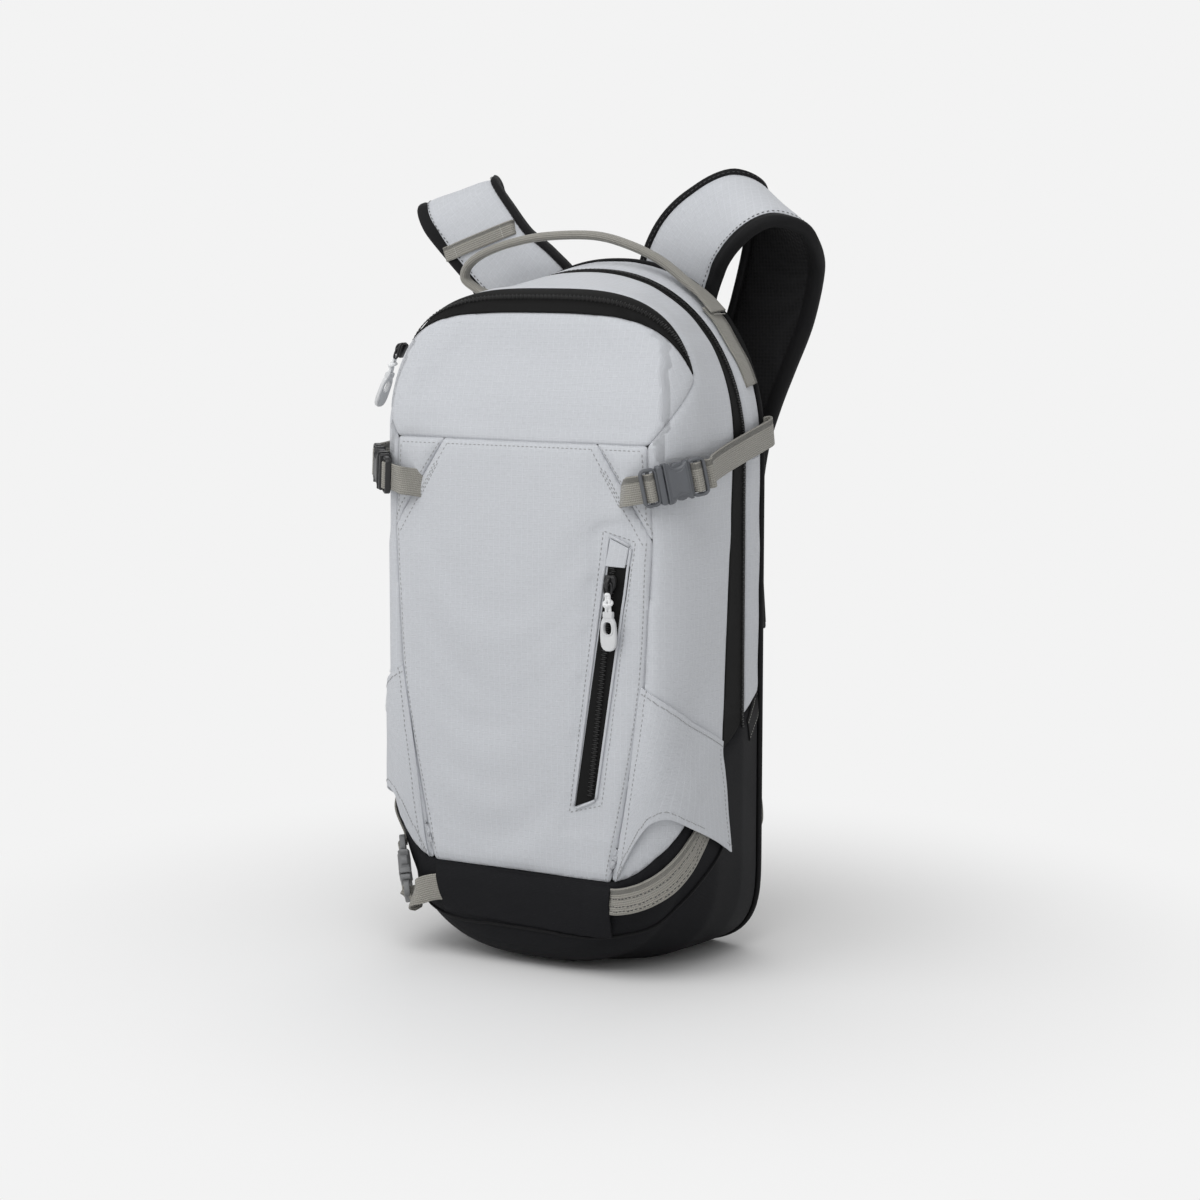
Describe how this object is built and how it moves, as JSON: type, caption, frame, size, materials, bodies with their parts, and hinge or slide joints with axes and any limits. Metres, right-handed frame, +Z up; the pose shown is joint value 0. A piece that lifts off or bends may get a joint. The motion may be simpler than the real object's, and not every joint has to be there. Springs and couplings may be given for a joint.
{
  "type": "ski backpack",
  "caption": "Small ski backpack with arched zips, goggle pocket, side ski loops, compression straps with buckles and padded shoulder straps.",
  "frame": {"origin": "middle of the flat base, on the surface that the pack stands on", "axes": "+Z up, -Y out of the front panel, +Y towards the wearer, +X to the right as seen from the front"},
  "size_m": [0.3204, 0.2214, 0.5454],
  "materials": {
    "shell_fabric": "light cool grey ripstop weave, matte",
    "black_fabric": "black coated plain weave, matte",
    "zip_tape": "black woven zip tape",
    "mesh": "black spacer mesh",
    "webbing": "warm grey ribbed webbing",
    "lining": "thin plain lining",
    "grey_plastic": "dark grey acetal, satin",
    "black_plastic": "black acetal, satin",
    "frame_plastic": "flexible sheet",
    "pull_plastic": "light grey moulded pull with white cord",
    "metal": "black painted zip slider"
  },
  "bodies": {
    "pack": {"adjuster_webbing": "webbing", "back_pads": "mesh", "back_panel": "mesh", "base_front_cover": "black_fabric", "base_tub": "black_fabric", "compression_plug_left": "black_plastic", "compression_plug_right": "grey_plastic", "compression_tabs": "webbing", "corner_tabs": "shell_fabric", "frame_sheet": "frame_plastic", "front_gusset": "shell_fabric", "front_panel": "shell_fabric", "front_zip_garage": "shell_fabric", "front_zip_tape": "zip_tape", "goggle_pocket_lining": "lining", "goggle_pocket_lower": "shell_fabric", "goggle_zip_tape": "zip_tape", "handle_anchors": "webbing", "hose_keeper": "webbing", "hydration_sleeve": "lining", "lower_plug": "grey_plastic", "lower_stub": "webbing", "main_zip_tape": "zip_tape", "rear_gusset": "shell_fabric", "shoulder_strap_left": "shell_fabric", "shoulder_strap_right": "shell_fabric", "side_label": "black_fabric", "side_zip_tape": "zip_tape", "ski_loop": "webbing", "ski_wing_left": "shell_fabric", "ski_wing_right": "shell_fabric", "sternum_rails": "black_plastic", "waist_socket": "black_plastic", "waist_webbing": "webbing"},
    "front_slider": {"front_zip_slider": "metal"},
    "front_pull": {"front_zip_pull": "pull_plastic"},
    "goggle_slider": {"goggle_zip_slider": "metal"},
    "goggle_pull": {"goggle_zip_pull": "pull_plastic"},
    "main_slider": {"main_zip_slider": "metal"},
    "main_pull": {"main_zip_pull": "pull_plastic"},
    "side_slider": {"side_zip_slider": "metal"},
    "side_pull": {"side_zip_pull": "pull_plastic"},
    "goggle_flap": {"goggle_pocket_flap": "shell_fabric"},
    "compression_right": {"compression_socket_right": "grey_plastic", "compression_strap_right": "webbing"},
    "compression_left": {"compression_socket_left": "black_plastic", "compression_strap_left": "webbing"},
    "lower_buckle": {"lower_socket": "grey_plastic", "lower_lead": "webbing"},
    "sternum": {"sternum_sliders": "black_plastic", "sternum_socket": "black_plastic", "sternum_webbing": "webbing"},
    "sternum_plug": {"sternum_plug": "black_plastic"},
    "waist_plug": {"waist_plug": "black_plastic"},
    "adjuster_right": {"ladder_lock_right": "black_plastic", "adjuster_tail_right": "webbing"},
    "adjuster_left": {"ladder_lock_left": "black_plastic", "adjuster_tail_left": "webbing"},
    "grab_handle": {"grab_handle": "webbing"}
  },
  "joints": [
    {"name": "front_zip", "type": "slide", "parent": "pack", "child": "front_slider", "axis": [-0.1117, 0, -0.9937], "range_m": [0, 0.138]},
    {"name": "front_pull_swing", "type": "hinge", "parent": "front_slider", "child": "front_pull", "pos_m": [0.06965, -0.0799, 0.26819], "axis": [-0.9937, 0, 0.1117], "range_deg": [0, 110]},
    {"name": "goggle_zip", "type": "hinge", "parent": "pack", "child": "goggle_slider", "pos_m": [-0.043, -0.042, 0.388], "axis": [0, 1, 0], "range_deg": [0, 66]},
    {"name": "goggle_pull_swing", "type": "hinge", "parent": "goggle_slider", "child": "goggle_pull", "pos_m": [-0.11745, -0.042, 0.42115], "axis": [0, 1, 0], "range_deg": [0, 110]},
    {"name": "main_zip", "type": "slide", "parent": "pack", "child": "main_slider", "axis": [0, 0, 1], "range_m": [0, 0.165]},
    {"name": "main_pull_swing", "type": "hinge", "parent": "main_slider", "child": "main_pull", "pos_m": [-0.124, 0.025, 0.172], "axis": [0, 1, 0], "range_deg": [0, 110]},
    {"name": "side_zip", "type": "slide", "parent": "pack", "child": "side_slider", "axis": [0, 0.172, 0.9851], "range_m": [0, 0.108]},
    {"name": "side_pull_swing", "type": "hinge", "parent": "side_slider", "child": "side_pull", "pos_m": [-0.1252, -0.03828, 0.20585], "axis": [0, 0.9851, -0.172], "range_deg": [0, 110]},
    {"name": "goggle_flap_fold", "type": "hinge", "parent": "pack", "child": "goggle_flap", "pos_m": [0, -0.0745, 0.3982], "axis": [1, 0, 0], "range_deg": [0, 55]},
    {"name": "compression_release_right", "type": "slide", "parent": "pack", "child": "compression_right", "axis": [0.7024, 0.682, 0.2036], "range_m": [0, 0.022]},
    {"name": "compression_release_left", "type": "slide", "parent": "pack", "child": "compression_left", "axis": [-0.7024, 0.682, 0.2036], "range_m": [0, 0.022]},
    {"name": "lower_release", "type": "slide", "parent": "pack", "child": "lower_buckle", "axis": [-0.3396, 0.3596, 0.8691], "range_m": [0, 0.02]},
    {"name": "sternum_height", "type": "slide", "parent": "pack", "child": "sternum", "axis": [0, 0.1191, 0.9929], "range_m": [-0.022, 0.022]},
    {"name": "sternum_release", "type": "slide", "parent": "sternum", "child": "sternum_plug", "axis": [1, 0, 0], "range_m": [0, 0.022]},
    {"name": "waist_release", "type": "slide", "parent": "pack", "child": "waist_plug", "axis": [1, 0, 0], "range_m": [0, 0.024]},
    {"name": "adjuster_tilt_right", "type": "hinge", "parent": "pack", "child": "adjuster_right", "pos_m": [0.0825, 0.088, 0.219], "axis": [1, 0, 0], "range_deg": [0, 35]},
    {"name": "adjuster_tilt_left", "type": "hinge", "parent": "pack", "child": "adjuster_left", "pos_m": [-0.0825, 0.088, 0.219], "axis": [1, 0, 0], "range_deg": [0, 35]},
    {"name": "grab_handle_swing", "type": "hinge", "parent": "pack", "child": "grab_handle", "pos_m": [0, 0.044, 0.457], "axis": [1, 0, 0], "range_deg": [-26, 26], "stiffness_Nm_per_rad": 0.03}
  ]
}
